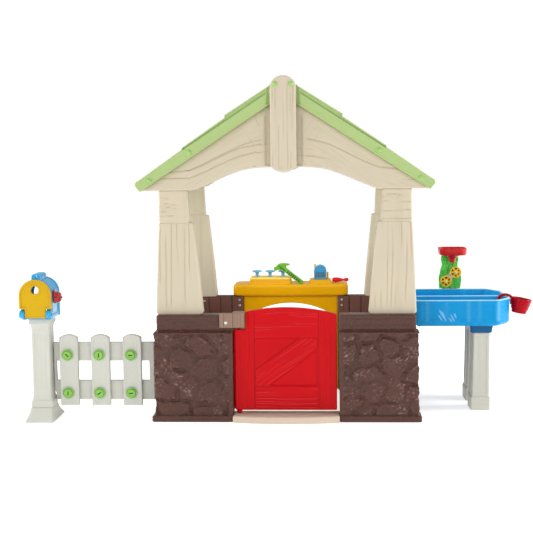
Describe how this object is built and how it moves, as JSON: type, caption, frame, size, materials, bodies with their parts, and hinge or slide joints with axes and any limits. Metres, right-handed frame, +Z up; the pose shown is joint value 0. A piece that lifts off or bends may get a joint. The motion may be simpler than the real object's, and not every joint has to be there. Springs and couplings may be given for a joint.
{
  "type": "toddler playhouse",
  "caption": "Toddler playhouse with stone-look walls, half door, gabled roof, workbench, picket fence with mailbox, and sand and water table.",
  "frame": {"origin": "on the ground at the middle of the doorway, in the plane of the front walls' outer face, on the underside of the threshold", "axes": "+X to the right of someone who stands in front of the door, along the longest side; +Y into the house; +Z up"},
  "size_m": [2.0768, 0.812, 1.37],
  "materials": {
    "stone_brown": "moulded stone and plank relief, dull",
    "timber_beige": "moulded wood grain, satin",
    "roof_green": "moulded shingles, satin",
    "bolt_green": "smooth",
    "door_red": "moulded wood grain, satin",
    "bracket_taupe": "satin",
    "screw_grey": "zinc plated",
    "bench_yellow": "smooth, satin",
    "peg_blue": "smooth",
    "vise_blue": "smooth",
    "hammer_green": "smooth",
    "driver_red": "smooth",
    "fence_white": "satin",
    "mailbox_blue": "smooth",
    "mailbox_yellow": "smooth",
    "flag_red": "smooth",
    "knob_green": "smooth",
    "table_blue": "smooth, satin",
    "leg_white": "satin",
    "tower_green": "smooth",
    "wheel_yellow": "smooth",
    "tray_red": "smooth",
    "cup_red": "smooth"
  },
  "bodies": {
    "house": {"front_left_wall": "stone_brown", "front_right_wall": "stone_brown", "back_left_wall": "stone_brown", "back_right_wall": "stone_brown", "left_side_wall": "stone_brown", "right_side_wall": "stone_brown", "threshold": "timber_beige", "front_left_pillar": "timber_beige", "front_right_pillar": "timber_beige", "back_left_pillar": "timber_beige", "back_right_pillar": "timber_beige", "front_left_gable": "timber_beige", "front_right_gable": "timber_beige", "back_left_gable": "timber_beige", "back_right_gable": "timber_beige", "front_king_post": "timber_beige", "back_king_post": "timber_beige", "left_roof_panel": "roof_green", "right_roof_panel": "roof_green", "left_roof_bolt_1": "bolt_green", "left_roof_bolt_2": "bolt_green", "right_roof_bolt_1": "bolt_green", "right_roof_bolt_2": "bolt_green", "left_king_bolt": "bolt_green", "right_king_bolt": "bolt_green", "hinge_bracket": "bracket_taupe", "bracket_screw": "screw_grey", "workbench_top": "bench_yellow", "workbench_panel": "bench_yellow", "mailbox_post": "fence_white", "mailbox_body": "mailbox_blue", "fence_frame": "fence_white", "table_basin": "table_blue", "table_front_leg": "leg_white", "table_back_leg": "leg_white", "wheel_tower": "tower_green", "water_tray": "tray_red", "picket_1": "fence_white", "picket_2": "fence_white", "picket_3": "fence_white"},
    "door_leaf": {"door": "door_red"},
    "mailbox_door_body": {"mailbox_door": "mailbox_yellow"},
    "mailbox_flag_body": {"mailbox_flag": "flag_red"},
    "fence_knob_1_body": {"fence_knob_1": "knob_green"},
    "fence_knob_2_body": {"fence_knob_2": "knob_green"},
    "fence_knob_3_body": {"fence_knob_3": "knob_green"},
    "fence_knob_4_body": {"fence_knob_4": "knob_green"},
    "fence_knob_5_body": {"fence_knob_5": "knob_green"},
    "fence_knob_6_body": {"fence_knob_6": "knob_green"},
    "peg_1_body": {"peg_1": "peg_blue"},
    "peg_2_body": {"peg_2": "peg_blue"},
    "peg_3_body": {"peg_3": "peg_blue"},
    "vise_jaw_body": {"vise_jaw": "vise_blue"},
    "hammer_body": {"hammer": "hammer_green"},
    "screwdriver_body": {"screwdriver": "driver_red"},
    "water_wheel_1_body": {"water_wheel_1": "wheel_yellow"},
    "water_wheel_2_body": {"water_wheel_2": "wheel_yellow"},
    "scoop_cup_body": {"scoop_cup": "cup_red"}
  },
  "joints": [
    {"name": "door_swing", "type": "hinge", "parent": "house", "child": "door_leaf", "pos_m": [-0.19, 0.05, 0.24], "axis": [0, 0, 1], "range_deg": [0, 95]},
    {"name": "mailbox_door_hinge", "type": "hinge", "parent": "house", "child": "mailbox_door_body", "pos_m": [-0.998, -0.012, 0.44], "axis": [1, 0, 0], "range_deg": [0, 95]},
    {"name": "mailbox_flag_turn", "type": "hinge", "parent": "house", "child": "mailbox_flag_body", "pos_m": [-0.9355, 0.045, 0.503], "axis": [1, 0, 0], "range_deg": [0, 90]},
    {"name": "fence_knob_1_turn", "type": "hinge", "parent": "house", "child": "fence_knob_1_body", "pos_m": [-0.8945, 0.0694, 0.105], "axis": [0, 1, 0], "continuous": true},
    {"name": "fence_knob_2_turn", "type": "hinge", "parent": "house", "child": "fence_knob_2_body", "pos_m": [-0.8945, 0.0694, 0.262], "axis": [0, 1, 0], "continuous": true},
    {"name": "fence_knob_3_turn", "type": "hinge", "parent": "house", "child": "fence_knob_3_body", "pos_m": [-0.764, 0.0694, 0.105], "axis": [0, 1, 0], "continuous": true},
    {"name": "fence_knob_4_turn", "type": "hinge", "parent": "house", "child": "fence_knob_4_body", "pos_m": [-0.764, 0.0694, 0.262], "axis": [0, 1, 0], "continuous": true},
    {"name": "fence_knob_5_turn", "type": "hinge", "parent": "house", "child": "fence_knob_5_body", "pos_m": [-0.6335, 0.0694, 0.105], "axis": [0, 1, 0], "continuous": true},
    {"name": "fence_knob_6_turn", "type": "hinge", "parent": "house", "child": "fence_knob_6_body", "pos_m": [-0.6335, 0.0694, 0.262], "axis": [0, 1, 0], "continuous": true},
    {"name": "peg_1_push", "type": "slide", "parent": "house", "child": "peg_1_body", "axis": [0, 0, 1], "range_m": [-0.018, 0]},
    {"name": "peg_2_push", "type": "slide", "parent": "house", "child": "peg_2_body", "axis": [0, 0, 1], "range_m": [-0.018, 0]},
    {"name": "peg_3_push", "type": "slide", "parent": "house", "child": "peg_3_body", "axis": [0, 0, 1], "range_m": [-0.018, 0]},
    {"name": "vise_jaw_slide", "type": "slide", "parent": "house", "child": "vise_jaw_body", "axis": [0, 1, 0], "range_m": [0, 0.012]},
    {"name": "hammer_lift", "type": "slide", "parent": "house", "child": "hammer_body", "axis": [0, 0, 1], "range_m": [0, 0.15]},
    {"name": "screwdriver_lift", "type": "slide", "parent": "house", "child": "screwdriver_body", "axis": [0, 0, 1], "range_m": [0, 0.15]},
    {"name": "scoop_cup_lift", "type": "slide", "parent": "house", "child": "scoop_cup_body", "axis": [0, 0, 1], "range_m": [0, 0.12]},
    {"name": "water_wheel_1_spin", "type": "hinge", "parent": "house", "child": "water_wheel_1_body", "pos_m": [0.7297, 0.53, 0.544], "axis": [0, 1, 0], "continuous": true},
    {"name": "water_wheel_2_spin", "type": "hinge", "parent": "house", "child": "water_wheel_2_body", "pos_m": [0.6875, 0.53, 0.504], "axis": [0, 1, 0], "continuous": true}
  ]
}
